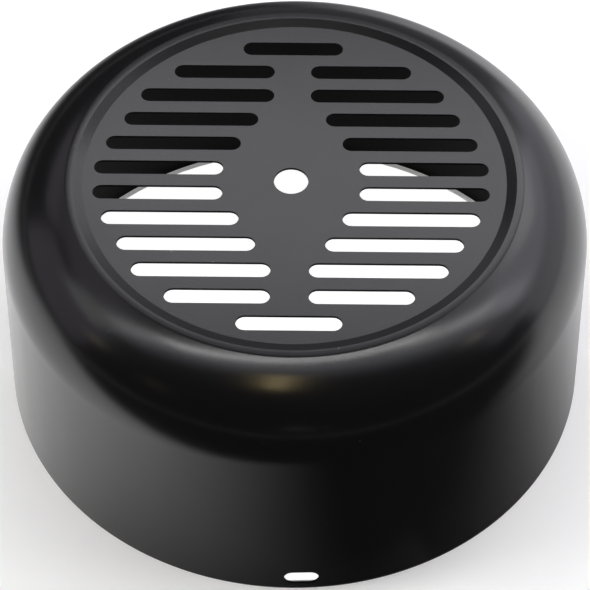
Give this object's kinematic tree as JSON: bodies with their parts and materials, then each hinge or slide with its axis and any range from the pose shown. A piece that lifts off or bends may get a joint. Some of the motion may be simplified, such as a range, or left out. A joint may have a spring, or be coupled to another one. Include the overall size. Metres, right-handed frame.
{
  "type": "motor fan cover",
  "caption": "Round drawn sheet-steel cover for an electric motor's cooling fan, with a slotted grille set into its crown and screw slots near its open edge.",
  "frame": {"origin": "centre of the open edge, in the plane of that edge", "axes": "+Z along the cover's axis from the open edge to the grille; +X along the slot rows; -Y is the front, where the picture shows a fixing slot"},
  "size_m": [0.1804, 0.1804, 0.086],
  "materials": {
    "black_paint": "satin black paint on drawn sheet steel"
  },
  "bodies": {
    "root": {"fan_cover": "black_paint"}
  },
  "joints": []
}
